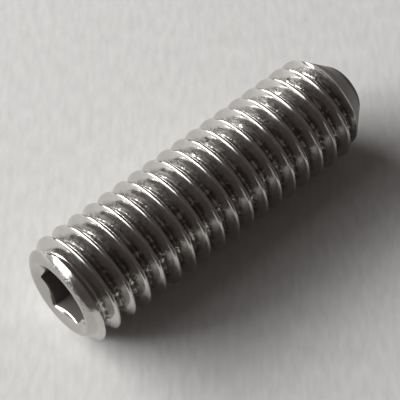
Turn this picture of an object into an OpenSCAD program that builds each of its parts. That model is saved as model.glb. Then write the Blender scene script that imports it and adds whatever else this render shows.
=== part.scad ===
// Hexagon socket grub screw with a cup point, metric coarse thread.
// Millimetres. The axis runs along Z. The screw stands on the ring of its
// cup point at z = 0 and its socket opens at the top.

/* [Thread] */
// Diameter over the thread crests, a little under the nominal 6
crest_d = 5.86; // [5.2:0.02:7.2]
// Distance from one crest to the next along the axis
pitch = 1; // [0.8:0.05:1.25]
// Angle at which the first root passes the X axis, in degrees
thread_start = 165; // [0:5:355]

/* [Body] */
// Length from the point ring to the socket face
length = 19.7; // [12:0.1:30]
// Diameter over the narrow flat rim of the socket end
rim_d = 4.4; // [4.2:0.02:5]
// Radius of the shoulder that rolls from the rim into a 45 degree chamfer
shoulder_r = 1.05; // [0.4:0.05:1.4]

/* [Socket] */
// Width of the hexagon socket across its flats
socket_af = 3; // [2.4:0.05:3.6]
// Depth of the hexagon walls below the rim
socket_depth = 3.6; // [2:0.1:5]
// Diameter of the countersink at the mouth of the socket
mouth_d = 4.16; // [3.6:0.02:4.18]
// Included angle of the countersink, in degrees
mouth_angle = 120; // [90:5:150]
// Included angle of the drilled cone under the socket, in degrees
drill_angle = 120; // [90:5:150]

/* [Point] */
// Outside diameter of the cup ring, at the end of its cone
point_d = 3; // [2.4:0.05:4]
// Included angle of the cone behind the ring, in degrees
point_angle = 80; // [70:1:100]
// Width of the flat on the cup ring
ring_w = 0.15; // [0.05:0.05:0.4]
// Included angle of the hollow in the cup, in degrees
cup_angle = 120; // [90:5:150]

/* [Colour] */
// Colour of the steel
steel = "Silver"; // [Silver, DarkGray, SlateGray]

/* [Hidden] */
$fn = 72;

// Steps of the helix in one turn
turn_steps = 48;
crest_r = crest_d / 2;
// Depth of an external metric thread, with 30 degree flanks
thread_h = 0.61343 * pitch;
root_r = crest_r - thread_h;
flank_w = thread_h * tan(30);
crest_w = pitch / 8;
root_w = pitch - crest_w - 2 * flank_w;
// One tooth from the start of its root to the end of its crest, as [radius, height]
tooth = [
    [root_r, 0],
    [root_r, root_w],
    [crest_r, root_w + flank_w],
    [crest_r, root_w + flank_w + crest_w]
];
// Turns needed to pass both ends of the screw
turns = ceil(length / pitch) + 3;
rod_z = -1.5 * pitch;
last = turn_steps * turns;
// Radius of the turned blank, clear of the crests
blank_r = crest_r + pitch / 2;
cup_r = point_d / 2 - ring_w;
// Slope of the shoulder where it leaves the rim, from the radial direction, in degrees
shoulder_a = 72;
// Overlap of each cutter past the face it opens
over = 0.2;

// Number of tooth corner k at step s of the helix
function at(s, k) = 4 * s + k;

// Two triangles over the four corners a, b, c, d
function pair(a, b, c, d) = [[a, d, c], [a, c, b]];

// Endless right-hand thread on a solid core, longer than the screw at both ends
module thread_rod() {
    corners = [
        for (s = [0 : last], p = tooth)
            let (a = thread_start + 360 * s / turn_steps)
                [p[0] * cos(a), p[0] * sin(a), rod_z + p[1] + pitch * s / turn_steps]
    ];
    low = len(corners);
    high = low + 1;
    centres = [[0, 0, rod_z], [0, 0, rod_z + pitch * (turns + 1)]];

    // Root, rising flank and crest of every turn
    teeth = [
        for (s = [0 : last - 1], k = [0 : 2])
            each pair(at(s, k), at(s + 1, k), at(s + 1, k + 1), at(s, k + 1))
    ];
    // Falling flank, down to the root of the next turn
    joins = [
        for (s = [0 : last - turn_steps - 1])
            each pair(at(s, 3), at(s + 1, 3), at(s + 1 + turn_steps, 0), at(s + turn_steps, 0))
    ];
    // Closing faces at the two ends, drawn to the axis
    low_cap = [
        for (s = [0 : turn_steps - 1]) [at(s, 0), at(s + 1, 0), low],
        for (k = [0 : 2]) [at(0, k + 1), at(0, k), low],
        [at(turn_steps, 0), at(0, 3), low]
    ];
    high_cap = [
        for (s = [last - turn_steps : last - 1]) [at(s + 1, 3), at(s, 3), high],
        for (k = [0 : 2]) [at(last, k), at(last, k + 1), high],
        [at(last - turn_steps, 3), at(last, 0), high]
    ];
    polyhedron(
        points = concat(corners, centres),
        faces = concat(teeth, joins, low_cap, high_cap)
    );
}

// Turned blank, with a cone at the point and a rolled shoulder at the socket
module blank() {
    point_h = (blank_r - point_d / 2) / tan(point_angle / 2);
    shoulder = [
        for (a = [45 : 4.5 : shoulder_a])
            [
                rim_d / 2 + shoulder_r * (cos(a) - cos(shoulder_a)),
                length - shoulder_r * (sin(shoulder_a) - sin(a))
            ]
    ];
    chamfer_z = shoulder[0][1] - (blank_r - shoulder[0][0]);
    rotate_extrude()
        polygon(concat(
            [[0, 0], [point_d / 2, 0], [blank_r, point_h], [blank_r, chamfer_z]],
            shoulder,
            [[0, length]]
        ));
}

// Hexagon socket with the cone of its pilot drill below it and a countersunk mouth
module socket_cut() {
    drill_r = 0.48 * socket_af;
    drill_h = drill_r / tan(drill_angle / 2);
    mouth_r = mouth_d / 2;
    mouth_slope = tan(mouth_angle / 2);
    translate([0, 0, length - socket_depth])
        rotate([0, 0, 30])
            cylinder(h = socket_depth + over, d = socket_af / cos(30), $fn = 6);
    translate([0, 0, length - socket_depth - drill_h])
        cylinder(h = drill_h + 0.001, r1 = 0, r2 = drill_r);
    translate([0, 0, length - mouth_r / mouth_slope])
        cylinder(h = over + mouth_r / mouth_slope, r1 = 0, r2 = mouth_r + over * mouth_slope);
}

// Hollow cone inside the ring of the point
module cup_cut() {
    slope = tan(cup_angle / 2);
    translate([0, 0, -over])
        cylinder(h = over + cup_r / slope, r1 = cup_r + over * slope, r2 = 0);
}

module screw() {
    color(steel)
        difference() {
            intersection() {
                thread_rod();
                blank();
            }
            socket_cut();
            cup_cut();
        }
}

screw();
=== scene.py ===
"""Looks of a hexagon socket grub screw with a cup point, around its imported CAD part.

Sizes are in millimetres and become metres when a mesh is made. The screw's axis is Z, its
point stands at z = 0 and its socket opens at the top. A sheet of pale paper lies along its
length, and soft light from a window falls across both.
"""

import logging
import math
from dataclasses import dataclass, field
from typing import Any

import bpy
import numpy as np
from mathutils import Matrix, Vector

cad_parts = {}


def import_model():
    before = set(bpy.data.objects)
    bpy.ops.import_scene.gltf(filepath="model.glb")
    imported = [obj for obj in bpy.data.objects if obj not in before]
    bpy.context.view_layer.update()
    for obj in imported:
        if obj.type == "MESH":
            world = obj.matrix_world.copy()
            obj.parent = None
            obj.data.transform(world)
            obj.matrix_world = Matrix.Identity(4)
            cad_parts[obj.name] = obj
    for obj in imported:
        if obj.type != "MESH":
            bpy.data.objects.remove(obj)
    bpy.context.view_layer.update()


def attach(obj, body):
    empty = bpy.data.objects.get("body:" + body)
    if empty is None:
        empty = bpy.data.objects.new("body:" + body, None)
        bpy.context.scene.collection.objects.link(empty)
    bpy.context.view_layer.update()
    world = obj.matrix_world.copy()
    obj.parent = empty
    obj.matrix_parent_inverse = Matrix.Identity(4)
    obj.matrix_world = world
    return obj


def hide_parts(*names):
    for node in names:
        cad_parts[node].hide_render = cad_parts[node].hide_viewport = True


LOG = logging.getLogger("grub_screw")
MM = 0.001
# Angle between faces above which an edge stays sharp
SHARP_DEG = 36.0
# Rows over one rounded bend of the thread, and down one of its flanks
BEND_STEPS = 4
FLANK_STEPS = 6
# Depth of an external metric thread, as a share of its pitch
THREAD_DEPTH = 0.61343
# Height on the axis that the lights and the paper are set out from, in millimetres
MIDDLE = 10.0


def linear(hex_colour: str) -> tuple[float, float, float, float]:
    """Turns an sRGB hex colour into the linear colour that a shader takes.

    Args:
        hex_colour: Six hex digits with a leading hash.

    Returns:
        Linear red, green and blue, and an alpha of 1.
    """
    digits = hex_colour.lstrip("#")
    parts = [int(digits[i : i + 2], 16) / 255 for i in (0, 2, 4)]
    out = [c / 12.92 if c <= 0.04045 else ((c + 0.055) / 1.055) ** 2.4 for c in parts]
    return out[0], out[1], out[2], 1.0


def add_node(
    tree: bpy.types.NodeTree,
    kind: str,
    settings: dict[str, Any] | None = None,
    values: dict[Any, Any] | None = None,
    links: dict[Any, bpy.types.NodeSocket] | None = None,
) -> bpy.types.Node:
    """Adds one node to a tree with its settings, constants and links.

    Args:
        tree: The node tree that gets the node.
        kind: The node's type name.
        settings: Properties of the node itself.
        values: Constants for its inputs, by name or by position.
        links: Outputs of other nodes that feed its inputs, by name or by position.

    Returns:
        The new node.
    """
    node = tree.nodes.new(kind)
    for name, value in (settings or {}).items():
        setattr(node, name, value)
    for name, value in (values or {}).items():
        node.inputs[name].default_value = value
    for name, socket in (links or {}).items():
        tree.links.new(socket, node.inputs[name])
    return node


def soft_min(a: np.ndarray, b: np.ndarray, width: float) -> np.ndarray:
    """Takes the lower of two heights, with a rounded change from one to the other.

    Args:
        a: First heights.
        b: Second heights.
        width: Difference below which the two blend.

    Returns:
        The lower height at each place.
    """
    near = np.clip(width - np.abs(a - b), 0, None)
    return np.minimum(a, b) - near * near / (4 * width)


@dataclass(frozen=True)
class RolledSteel:
    """Plain bright steel, thread-rolled and tumbled, with no plating. Lengths are in mm.

    Rolling burnishes the crests and flanks, so they mirror what is around them. The roots keep
    dull, uneven scale whose dark tone is partly painted shade, the turned point and the punched
    face are duller than the shank, and the socket and the cup's hollow get painted shade.
    """

    name: str = "rolled_steel"
    bright: str = "#DEDBD8"
    dull: str = "#C2BFBC"
    # Scale in the roots; its dark tone is partly painted shade in the thread's roots
    root_scale_and_shade: str = "#787471"
    turned: str = "#9B9896"
    punched: str = "#C0BDBA"
    # Painted shade: a dark colour inside the socket and the cup's hollow
    hollow_shade: str = "#5C5856"
    roughness: float = 0.17
    roughness_spread: tuple[float, float] = (0.8, 1.35)
    dull_roughness: float = 0.5
    # The hollows with painted shade are made barely metallic
    hollow_shade_metallic: float = 0.15
    # Pattern sizes
    wave: float = 0.45
    scuff: float = 0.25
    blotch: float = 0.3
    # Share of the noise at which the scale, with its painted shade, starts and is full
    scale_and_shade_range: tuple[float, float] = (0.42, 0.5)
    # Depths of the relief, and how much of it the burnished parts keep
    wave_depth: float = 0.012
    wave_strength: float = 0.3
    scuff_depth: float = 0.05
    burnished_scuff: float = 0.05
    # Where each part of the surface starts or ends
    root_r: float = 2.33
    flank_r: float = 2.66
    point_z: float = 1.3
    shank_z: float = 18.6
    face_z: float = 19.35
    bore_r: float = 1.74
    mouth_angle: float = 120.0
    mouth_apex_z: float = 18.45

    def mask(
        self,
        tree: bpy.types.NodeTree,
        measure: bpy.types.NodeSocket,
        start: float,
        width: float,
        before: float,
    ) -> bpy.types.NodeSocket:
        """Makes a value that changes smoothly from 0 to 1, or back, along some length.

        Args:
            tree: The material's node tree.
            measure: The length that it follows, in metres.
            start: Length where the change starts, in millimetres.
            width: Distance over which it happens, in millimetres.
            before: Value up to the start, 0 or 1. After the change it is the other.

        Returns:
            The mask.
        """
        step = add_node(
            tree,
            "ShaderNodeMapRange",
            {"interpolation_type": "SMOOTHSTEP"},
            values={
                "From Min": start * MM,
                "From Max": (start + width) * MM,
                "To Min": before,
                "To Max": 1 - before,
            },
            links={"Value": measure},
        )
        return step.outputs["Result"]

    def merge(
        self, tree: bpy.types.NodeTree, operation: str, *masks: bpy.types.NodeSocket
    ) -> bpy.types.NodeSocket:
        """Joins masks one after another.

        Args:
            tree: The material's node tree.
            operation: The maths that joins two of them.
            masks: The masks.

        Returns:
            The joined mask.
        """
        joined = masks[0]
        for mask in masks[1:]:
            step = add_node(
                tree, "ShaderNodeMath", {"operation": operation}, links={0: joined, 1: mask}
            )
            joined = step.outputs["Value"]
        return joined

    def material(self) -> bpy.types.Material:
        """Builds the steel's material.

        Returns:
            The material.
        """
        material = bpy.data.materials.new(self.name)
        material.use_nodes = True
        tree = material.node_tree
        tree.nodes.clear()
        place = add_node(tree, "ShaderNodeTexCoord").outputs["Object"]
        across = add_node(
            tree,
            "ShaderNodeVectorMath",
            {"operation": "MULTIPLY"},
            values={1: (1.0, 1.0, 0.0)},
            links={0: place},
        )
        radius = add_node(
            tree, "ShaderNodeVectorMath", {"operation": "LENGTH"}, links={0: across.outputs[0]}
        ).outputs["Value"]
        height = add_node(tree, "ShaderNodeSeparateXYZ", links={"Vector": place}).outputs["Z"]
        # Height at which a cone as steep as the countersink's, through the place, meets the axis
        apex = add_node(
            tree,
            "ShaderNodeMath",
            {"operation": "MULTIPLY_ADD"},
            values={1: -1 / math.tan(math.radians(self.mouth_angle / 2))},
            links={0: radius, 2: height},
        ).outputs["Value"]
        noises = []
        for size, coarseness in ((self.wave, 0.55), (self.scuff, 0.55), (self.blotch, 0.6)):
            noise = add_node(
                tree,
                "ShaderNodeTexNoise",
                values={"Scale": 1 / (size * MM), "Detail": 3.0, "Roughness": coarseness},
                links={"Vector": place},
            )
            noises.append(noise.outputs["Fac"])
        waves, scuffs, blotches = noises
        patches = add_node(
            tree,
            "ShaderNodeMapRange",
            {"interpolation_type": "SMOOTHSTEP"},
            values={"From Min": self.scale_and_shade_range[0], "From Max": self.scale_and_shade_range[1]},
            links={"Value": blotches},
        ).outputs["Result"]
        below_flank = self.mask(tree, radius, self.root_r, self.flank_r - self.root_r, 1.0)
        outside = self.mask(tree, radius, self.root_r - 0.1, 0.05, 0.0)
        root = self.merge(tree, "MULTIPLY", below_flank, outside)
        shank = self.mask(tree, height, self.shank_z, 0.2, 1.0)
        # Patches of scale in the roots, darkened in colour as painted shade
        scale_and_shade_mask = self.merge(tree, "MULTIPLY", patches, root, shank)
        point = self.mask(tree, height, self.point_z, 0.15, 1.0)
        face = self.mask(tree, height, self.face_z, 0.15, 0.0)
        # Inside the socket and the cup's hollow, which get painted shade
        bore = self.merge(
            tree,
            "MULTIPLY",
            self.mask(tree, radius, self.bore_r, 0.02, 1.0),
            self.mask(tree, apex, self.mouth_apex_z, 0.03, 1.0),
        )
        tone: bpy.types.NodeSocket = add_node(
            tree,
            "ShaderNodeMix",
            {"data_type": "RGBA"},
            values={6: linear(self.dull), 7: linear(self.bright)},
            links={0: scuffs},
        ).outputs[2]
        layers = (
            # Dark scale in the roots, partly painted shade
            (self.root_scale_and_shade, scale_and_shade_mask),
            (self.turned, point),
            (self.punched, face),
            # Painted shade inside the socket and the cup's hollow
            (self.hollow_shade, bore),
        )
        for colour, mask in layers:
            tone = add_node(
                tree,
                "ShaderNodeMix",
                {"data_type": "RGBA"},
                values={7: linear(colour)},
                links={0: mask, 6: tone},
            ).outputs[2]
        # The hollows with painted shade are barely metallic
        metallic = add_node(
            tree,
            "ShaderNodeMapRange",
            values={"To Min": 1.0, "To Max": self.hollow_shade_metallic},
            links={"Value": bore},
        )
        burnished = add_node(
            tree,
            "ShaderNodeMapRange",
            values={
                "From Min": 0.3,
                "From Max": 0.75,
                "To Min": self.roughness * self.roughness_spread[0],
                "To Max": self.roughness * self.roughness_spread[1],
            },
            links={"Value": waves},
        )
        rough = add_node(
            tree,
            "ShaderNodeMix",
            values={"B": self.dull_roughness},
            links={
                "Factor": self.merge(tree, "MAXIMUM", scale_and_shade_mask, point, bore),
                "A": burnished.outputs["Result"],
            },
        )
        torn = add_node(
            tree,
            "ShaderNodeMapRange",
            values={"To Min": self.burnished_scuff, "To Max": 1.0},
            links={"Value": root},
        )
        coarse = add_node(
            tree,
            "ShaderNodeBump",
            values={"Strength": self.wave_strength, "Distance": self.wave_depth * MM},
            links={"Height": waves},
        )
        fine = add_node(
            tree,
            "ShaderNodeBump",
            values={"Distance": self.scuff_depth * MM},
            links={
                "Strength": torn.outputs["Result"],
                "Height": scuffs,
                "Normal": coarse.outputs["Normal"],
            },
        )
        shader = add_node(
            tree,
            "ShaderNodeBsdfPrincipled",
            links={
                "Metallic": metallic.outputs["Result"],
                "Base Color": tone,
                "Roughness": rough.outputs["Result"],
                "Normal": fine.outputs["Normal"],
            },
        )
        add_node(tree, "ShaderNodeOutputMaterial", links={"Surface": shader.outputs["BSDF"]})
        return material


@dataclass(frozen=True)
class CopyPaper:
    """Uncoated office paper: matt, near white, with short fibres lying mostly one way."""

    name: str = "copy_paper"
    bright: str = "#DEDEDC"
    fleck: str = "#C2C2C0"
    # Width of a streak of fibres in mm, and its width as a share of its length
    fibre: float = 0.35
    fibre_stretch: float = 0.3

    def material(self) -> bpy.types.Material:
        """Builds the paper's material. Its back is clear, so it hides nothing behind it.

        Returns:
            The material.
        """
        material = bpy.data.materials.new(self.name)
        material.use_nodes = True
        tree = material.node_tree
        tree.nodes.clear()
        place = add_node(tree, "ShaderNodeTexCoord").outputs["Object"]
        stretch = add_node(
            tree,
            "ShaderNodeMapping",
            values={"Scale": (1.0, self.fibre_stretch, 1.0)},
            links={"Vector": place},
        )
        fibres = add_node(
            tree,
            "ShaderNodeTexNoise",
            values={"Scale": 1 / (self.fibre * MM), "Detail": 3.0},
            links={"Vector": stretch.outputs["Vector"]},
        )
        tone = add_node(
            tree,
            "ShaderNodeMix",
            {"data_type": "RGBA"},
            values={6: linear(self.fleck), 7: linear(self.bright)},
            links={0: fibres.outputs["Fac"]},
        )
        shader = add_node(
            tree,
            "ShaderNodeBsdfPrincipled",
            values={"Roughness": 0.9, "Specular IOR Level": 0.2},
            links={"Base Color": tone.outputs[2]},
        )
        clear = add_node(tree, "ShaderNodeBsdfTransparent")
        side = add_node(tree, "ShaderNodeNewGeometry")
        either = add_node(
            tree,
            "ShaderNodeMixShader",
            links={
                0: side.outputs["Backfacing"],
                1: shader.outputs["BSDF"],
                2: clear.outputs["BSDF"],
            },
        )
        add_node(tree, "ShaderNodeOutputMaterial", links={"Surface": either.outputs["Shader"]})
        return material


class RingMesh:
    """A closed surface made of rings with one vertex in each column around the axis."""

    def __init__(self, columns: int) -> None:
        """Starts an empty surface.

        Args:
            columns: Vertices in every ring.
        """
        self.columns = columns
        self.angles = 2 * math.pi * np.arange(columns) / columns
        self.points: list[tuple[float, float, float]] = []
        self.faces: list[tuple[int, ...]] = []

    def ring(self, radius: float | np.ndarray, z: float | np.ndarray) -> np.ndarray:
        """Adds a ring.

        Args:
            radius: One radius, or one for each column.
            z: One height, or one for each column.

        Returns:
            The numbers of its vertices.
        """
        first = len(self.points)
        r = np.broadcast_to(radius, self.columns)
        h = np.broadcast_to(z, self.columns)
        xyz = np.stack([r * np.cos(self.angles), r * np.sin(self.angles), h], axis=1)
        self.points.extend(map(tuple, xyz.tolist()))
        return np.arange(first, first + self.columns)

    def bridge(self, low: np.ndarray, high: np.ndarray) -> None:
        """Joins two rings with a band of faces.

        Args:
            low: The ring nearer the point's hollow along the surface.
            high: The other ring.
        """
        n = self.columns
        for c in range(n):
            d = (c + 1) % n
            self.faces.append((int(low[c]), int(low[d]), int(high[d]), int(high[c])))

    def close(self, ring: np.ndarray, z: float, upward: bool) -> None:
        """Closes a ring with a fan to a point on the axis.

        Args:
            ring: The ring's vertices.
            z: Height of the point.
            upward: Whether the ring comes after the point along the surface.
        """
        tip = len(self.points)
        self.points.append((0.0, 0.0, z))
        for c in range(self.columns):
            d = (c + 1) % self.columns
            pair = (int(ring[d]), int(ring[c])) if upward else (int(ring[c]), int(ring[d]))
            self.faces.append((tip, *pair))

    def mesh(self, name: str) -> bpy.types.Mesh:
        """Makes the Blender mesh, in metres, smooth but for its true edges.

        Args:
            name: Name of the mesh.

        Returns:
            The mesh.
        """
        data = bpy.data.meshes.new(name)
        scale_and_shade_mask = (np.array(self.points) * MM).tolist()
        data.from_pydata(scale_and_shade_mask, [], self.faces)
        data.validate()
        data.shade_smooth()
        data.set_sharp_from_angle(angle=math.radians(SHARP_DEG))
        return data


@dataclass(frozen=True)
class Thread:
    """Right-hand metric thread: the sizes and shape of a tooth, and where it starts."""

    crest_d: float = 5.86
    pitch: float = 1.0
    start_deg: float = 165.0
    crest_round: float = 0.1
    crest_land: float = 0.0625
    root_round: float = 0.07
    flank_deg: float = 30.0

    @property
    def crest_r(self) -> float:
        """Radius over the crests."""
        return self.crest_d / 2

    @property
    def depth(self) -> float:
        """Depth of an external thread."""
        return THREAD_DEPTH * self.pitch

    @property
    def crest_z(self) -> float:
        """Height of a crest's middle where the angle is 0.

        Returns:
            The height, between 0 and one pitch.
        """
        flank = self.depth * math.tan(math.radians(self.flank_deg))
        middle = self.pitch - flank - self.crest_land
        turned = self.pitch * self.start_deg / 360
        return (middle - 1.5 * self.pitch - turned) % self.pitch

    def tooth(self) -> tuple[np.ndarray, np.ndarray]:
        """Draws the surface from the middle of one crest up to the middle of the next.

        Returns:
            Heights above the first crest, from 0 to one pitch, and the depth at each.
        """
        lean = math.radians(self.flank_deg)
        edge = self.crest_round * math.tan(lean)
        foot = self.crest_land + self.depth * math.tan(lean)
        hollow = self.root_round * math.tan(lean)
        rows = [(0.0, 0.0)]
        for k in range(BEND_STEPS + 1):
            turn = 2 * lean * k / BEND_STEPS
            rise = self.crest_round * (1 - math.cos(turn))
            rows.append((self.crest_land - edge + self.crest_round * math.sin(turn), rise))
        bends = []
        for k in range(BEND_STEPS + 1):
            turn = 2 * lean * (1 - k / BEND_STEPS)
            drop = self.root_round * (1 - math.cos(turn))
            bends.append((foot + hollow - self.root_round * math.sin(turn), self.depth - drop))
        top, low = rows[-1], bends[0]
        for k in range(1, FLANK_STEPS):
            share = k / FLANK_STEPS
            rows.append(
                (top[0] + (low[0] - top[0]) * share, top[1] + (low[1] - top[1]) * share)
            )
        rows += [p for p in bends if p[0] < self.pitch / 2 - 0.001]
        rows.append((self.pitch / 2, self.depth))
        rows += [(self.pitch - z, d) for z, d in reversed(rows[:-1])]
        return np.array([z for z, _ in rows]), np.array([d for _, d in rows])


@dataclass(frozen=True)
class SocketEnd:
    """Rolled shoulder up to a narrow flat rim, with a countersunk hexagon socket inside it."""

    rim_d: float = 4.4
    shoulder_r: float = 1.05
    shoulder_deg: float = 72.0
    rim_round: float = 0.02
    mouth_d: float = 4.16
    mouth_angle: float = 120.0
    across_flats: float = 3.0
    edge_round: float = 0.03
    depth: float = 3.6
    drill_angle: float = 120.0
    # Radius of the drilled hole's foot, as a share of the width across the flats
    drill_share: float = 0.48
    # Distance below the rounded mouth of the row that keeps the walls flat
    wall_row: float = 0.1

    def limit(self, below: np.ndarray) -> np.ndarray:
        """Radius of the shoulder and its chamfer.

        Args:
            below: Distances below the rim.

        Returns:
            The radius at each distance.
        """
        start = math.radians(self.shoulder_deg)
        bend = self.shoulder_r * (math.sin(start) - math.sin(math.pi / 4))
        sine = math.sin(start) - np.clip(below, 0, bend) / self.shoulder_r
        cosine = np.sqrt(1 - sine * sine)
        rolled = self.rim_d / 2 + self.shoulder_r * (cosine - math.cos(start))
        return rolled + np.clip(below - bend, 0, None)

    def hexagon(self, angles: np.ndarray, extra: float) -> np.ndarray:
        """Radius of the socket's outline at each angle, with a corner on -Y.

        Args:
            angles: Angles about the axis, in radians.
            extra: Distance from the socket's flats outward.

        Returns:
            The radius at each angle.
        """
        from_flat = np.mod(angles + math.pi / 6, math.pi / 3) - math.pi / 6
        return (self.across_flats / 2 + extra) / np.cos(from_flat)

    def build(self, shell: RingMesh, shoulder: np.ndarray, top: float) -> None:
        """Adds the rim, countersink and socket inside the shoulder.

        Args:
            shell: The surface to add to.
            shoulder: The last ring of the shoulder.
            top: Height of the rim.
        """
        mouth_r = self.mouth_d / 2
        slope = math.tan(math.radians(self.mouth_angle / 2))
        wall = self.hexagon(shell.angles, 0.0)
        edge = self.hexagon(shell.angles, self.edge_round)
        edge_z = top - (mouth_r - edge) / slope
        wall_z = top - (mouth_r - wall) / slope - self.edge_round
        drill_r = self.drill_share * self.across_flats
        floor = top - self.depth
        steps = [
            (self.rim_d / 2 - self.rim_round, top),
            (mouth_r + self.rim_round, top),
            (mouth_r - self.rim_round, top - self.rim_round / slope),
            ((mouth_r + edge) / 2, (top + edge_z) / 2),
            (edge, edge_z),
            (wall, wall_z),
            (wall, wall_z - self.wall_row),
            (wall, floor),
            (drill_r, floor),
        ]
        last = shoulder
        for radius, z in steps:
            ring = shell.ring(radius, z)
            shell.bridge(last, ring)
            last = ring
        slope = math.tan(math.radians(self.drill_angle / 2))
        shell.close(last, floor - drill_r / slope, upward=False)


@dataclass(frozen=True)
class CupPoint:
    """Cone down to a narrow ring, with a hollow cone inside it."""

    ring_d: float = 3.0
    ring_w: float = 0.15
    ring_round: float = 0.04
    cone_angle: float = 80.0
    cup_angle: float = 120.0
    # Distance from the ring to the row that keeps its inner edge crisp
    edge_row: float = 0.02

    def limit(self, z: np.ndarray) -> np.ndarray:
        """Radius of the cone at a height above the ring."""
        return self.ring_d / 2 + z * math.tan(math.radians(self.cone_angle / 2))

    def build(self, shell: RingMesh) -> np.ndarray:
        """Adds the cup and its ring below the cone.

        Args:
            shell: The surface to add to.

        Returns:
            The ring where the cone starts.
        """
        outer = self.ring_d / 2
        inner = outer - self.ring_w
        slope = math.tan(math.radians(self.cup_angle / 2))
        lean = 90 - self.cone_angle / 2
        centre = outer - self.ring_round * math.tan(math.radians(lean / 2))
        last = shell.ring(inner - self.edge_row, self.edge_row / slope)
        shell.close(last, inner / slope, upward=True)
        rings = [(inner, 0.0), (centre, 0.0)]
        for k in range(1, 4):
            turn = math.radians(lean * k / 3)
            rise = self.ring_round * (1 - math.cos(turn))
            rings.append((centre + self.ring_round * math.sin(turn), rise))
        for radius, z in rings:
            ring = shell.ring(radius, z)
            shell.bridge(last, ring)
            last = ring
        return last

    @property
    def cone_start(self) -> float:
        """Height at which the ring's rounded edge meets the cone."""
        return self.ring_round * (1 - math.sin(math.radians(self.cone_angle / 2)))


@dataclass
class GrubScrew:
    """The whole screw: a threaded shank between a cup point and a socket end."""

    length: float = 19.7
    columns: int = 120
    # Width over which the thread fades into the cones at both ends
    run_out: float = 0.05
    # Least distance from a row of the thread to the ring at either end
    row_gap: float = 0.002
    thread: Thread = field(default_factory=Thread)
    socket: SocketEnd = field(default_factory=SocketEnd)
    point: CupPoint = field(default_factory=CupPoint)
    finish: RolledSteel = field(default_factory=RolledSteel)

    def radius(self, z: np.ndarray, depth: np.ndarray) -> np.ndarray:
        """Radius of the shank, with the thread run out at the cones of both ends.

        Args:
            z: Heights above the point.
            depth: Depth of the thread at each of them.

        Returns:
            The radius at each height.
        """
        body = self.thread.crest_r - depth
        capped = soft_min(body, self.point.limit(z), self.run_out)
        return soft_min(capped, self.socket.limit(self.length - z), self.run_out)

    def shank(self, shell: RingMesh, first: np.ndarray, last: np.ndarray) -> None:
        """Adds the threaded surface between two rings, on rows that climb with the helix.

        Args:
            shell: The surface to add to.
            first: The ring at the foot of the shank.
            last: The ring at its top.
        """
        pitch = self.thread.pitch
        rise, depth = self.thread.tooth()
        per_turn = len(rise) - 1
        low = self.point.cone_start + self.row_gap
        high = self.length - self.socket.rim_round - self.row_gap
        count = per_turn * (math.ceil(self.length / pitch) + 4)
        rows = np.arange(count)
        base = (rows // per_turn - 2) * pitch + rise[rows % per_turn] + self.thread.crest_z
        table = np.empty((shell.columns + 1, count), dtype=int)
        for c, angle in enumerate(shell.angles):
            climb = pitch * c / shell.columns
            z = base + climb
            inside = (z > low) & (z < high)
            table[c] = np.where(z <= low, first[c], last[c])
            r = self.radius(z[inside], depth[rows[inside] % per_turn])
            start = len(shell.points)
            xyz = np.stack([r * math.cos(angle), r * math.sin(angle), z[inside]], axis=1)
            shell.points.extend(map(tuple, xyz.tolist()))
            table[c, inside] = np.arange(start, start + len(xyz))
        table[-1] = last[0]
        table[-1, : count - per_turn] = table[0, per_turn:]
        for c in range(shell.columns):
            here, beside = table[c], table[c + 1]
            for m in range(count - 1):
                corners = (here[m], beside[m], beside[m + 1], here[m + 1])
                face = tuple(dict.fromkeys(int(v) for v in corners))
                if len(face) > 2:
                    shell.faces.append(face)

    def build(self) -> bpy.types.Object:
        """Makes the screw's mesh, dresses it and puts it in place of its CAD node.

        Returns:
            The screw.
        """
        shell = RingMesh(self.columns)
        foot = self.point.build(shell)
        drop = self.socket.rim_round
        top = shell.ring(float(self.socket.limit(np.float64(drop))), self.length - drop)
        self.shank(shell, foot, top)
        self.socket.build(shell, top, self.length)
        piece = bpy.data.objects.new("screw_steel", shell.mesh("screw_steel"))
        bpy.context.scene.collection.objects.link(piece)
        piece.data.materials.append(self.finish.material())
        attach(piece, "root")
        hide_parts("screw")
        return piece


@dataclass(frozen=True)
class Viewpoint:
    """Where the camera stands: close, a little above the socket end, and rolled over."""

    azimuth_deg: float = -95.384
    elevation_deg: float = 23.176
    roll_deg: float = -126.512
    distance: float = 87.372
    target: tuple[float, float, float] = (-0.248, 0.0, 10.443)
    lens: float = 152.4

    def axes(self) -> tuple[Vector, Vector, Vector]:
        """Works out how the camera is turned.

        Returns:
            Directions to the camera's right, up and back.
        """
        a, e = math.radians(self.azimuth_deg), math.radians(self.elevation_deg)
        back = Vector((math.cos(e) * math.cos(a), math.cos(e) * math.sin(a), math.sin(e)))
        level = Vector((-math.sin(a), math.cos(a), 0.0))
        upright = back.cross(level)
        roll = math.radians(self.roll_deg)
        right = math.cos(roll) * level + math.sin(roll) * upright
        return right, back.cross(right), back

    def build(self) -> bpy.types.Object:
        """Makes the camera and gives it to the scene.

        Returns:
            The camera.
        """
        right, up, back = self.axes()
        data = bpy.data.cameras.new("camera")
        data.sensor_width = 36.0
        data.lens = self.lens
        data.clip_start = 1 * MM
        data.clip_end = 5.0
        camera = bpy.data.objects.new("camera", data)
        turn = Matrix((right, up, back)).transposed().to_4x4()
        place = (Vector(self.target) + back * self.distance) * MM
        camera.matrix_world = Matrix.Translation(place) @ turn
        bpy.context.scene.collection.objects.link(camera)
        bpy.context.scene.camera = camera
        return camera


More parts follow.
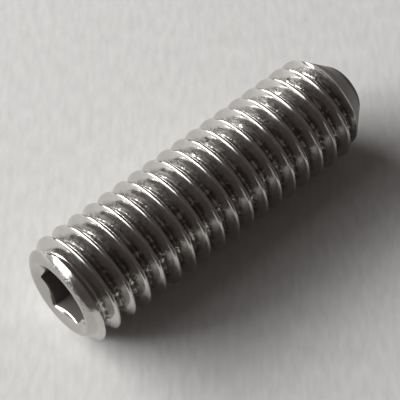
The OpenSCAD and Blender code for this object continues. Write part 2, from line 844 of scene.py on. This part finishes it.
@dataclass(frozen=True)
class Pane:
    """A soft rectangle of daylight that faces the screw, with its foot level.

    Azimuth runs over the paper from its right towards its far side, and elevation up from
    the paper, both in degrees. Sizes are in millimetres and power is in watts.
    """

    name: str
    azimuth_deg: float
    elevation_deg: float
    width: float
    height: float
    power: float
    distance: float = 400.0

    def build(self, basis: Matrix) -> bpy.types.Object:
        """Adds the light.

        Args:
            basis: The paper's right, away and outward directions, as columns.

        Returns:
            The light.
        """
        a, e = math.radians(self.azimuth_deg), math.radians(self.elevation_deg)
        local = Vector((math.cos(e) * math.cos(a), math.cos(e) * math.sin(a), math.sin(e)))
        out = basis @ local
        level = basis @ Vector((-math.sin(a), math.cos(a), 0.0))
        data = bpy.data.lights.new(self.name, "AREA")
        data.shape = "RECTANGLE"
        data.size = self.width * MM
        data.size_y = self.height * MM
        data.energy = self.power
        lamp = bpy.data.objects.new(self.name, data)
        place = (Vector((0.0, 0.0, MIDDLE)) + out * self.distance) * MM
        turn = Matrix((level, out.cross(level), out)).transposed().to_4x4()
        lamp.matrix_world = Matrix.Translation(place) @ turn
        bpy.context.scene.collection.objects.link(lamp)
        return lamp


@dataclass(frozen=True)
class Studio:
    """Pale paper along the screw, a window's soft light, a dim room and a pale backdrop.

    The backdrop shows to the camera alone. The paper ends a little past the screw on its
    right and its near side, at the distances from the middle given by its edges.
    """

    view: Viewpoint
    paper: CopyPaper = field(default_factory=CopyPaper)
    gap: float = 2.93
    paper_size: float = 800.0
    right_edge: float = 18.0
    near_edge: float = 20.0
    panes: tuple[Pane, ...] = (
        Pane("window", 168.0, 27.0, 480.0, 150.0, 3.35),
        Pane("side_pane", 206.0, 25.0, 130.0, 360.0, 0.36),
    )
    room: str = "#504B4A"
    backdrop: str = "#D9D9D7"

    def basis(self) -> Matrix:
        """Works out how the paper is turned.

        Returns:
            Directions to its right, away and out of the sheet, as columns.
        """
        right, _, back = self.view.axes()
        along = Vector((0.0, 0.0, 1.0))
        out = right.cross(along).normalized()
        if out.dot(back) < 0:
            out.negate()
        away = out.cross(right)
        return Matrix((right, away, out)).transposed()

    def sheet(self) -> bpy.types.Object:
        """Lays the paper against the crests.

        Returns:
            The paper.
        """
        half = self.paper_size / 2
        data = bpy.data.meshes.new("paper")
        side = half * MM
        corners = [(-side, -side, 0), (side, -side, 0), (side, side, 0), (-side, side, 0)]
        data.from_pydata(corners, [], [(0, 1, 2, 3)])
        data.materials.append(self.paper.material())
        piece = bpy.data.objects.new("paper", data)
        basis = self.basis()
        out = basis.col[2]
        place = Vector((0.0, 0.0, MIDDLE)) - out * self.gap
        place += basis @ Vector((self.right_edge - half, half - self.near_edge, 0.0))
        piece.matrix_world = Matrix.Translation(place * MM) @ basis.to_4x4()
        bpy.context.scene.collection.objects.link(piece)
        return piece

    def build(self) -> None:
        """Sets out the paper, the light and the room."""
        self.sheet()
        for pane in self.panes:
            pane.build(self.basis())
        world = bpy.data.worlds.new("room")
        bpy.context.scene.world = world
        bpy.context.scene.view_settings.view_transform = "Standard"
        world.use_nodes = True
        tree = world.node_tree
        tree.nodes.clear()
        seen = add_node(tree, "ShaderNodeLightPath").outputs["Is Camera Ray"]
        tone = add_node(
            tree,
            "ShaderNodeMix",
            {"data_type": "RGBA"},
            values={6: linear(self.room), 7: linear(self.backdrop)},
            links={0: seen},
        )
        shade = add_node(tree, "ShaderNodeBackground", links={"Color": tone.outputs[2]})
        add_node(tree, "ShaderNodeOutputWorld", links={"Surface": shade.outputs["Background"]})


def main() -> None:
    """Builds the screw and its surroundings."""
    logging.basicConfig(level=logging.INFO, format="%(name)s: %(message)s")
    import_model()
    screw = GrubScrew().build()
    LOG.info("%s has %d faces", screw.name, len(screw.data.polygons))
    view = Viewpoint()
    Studio(view).build()
    view.build()


if __name__ == "__main__":
    main()
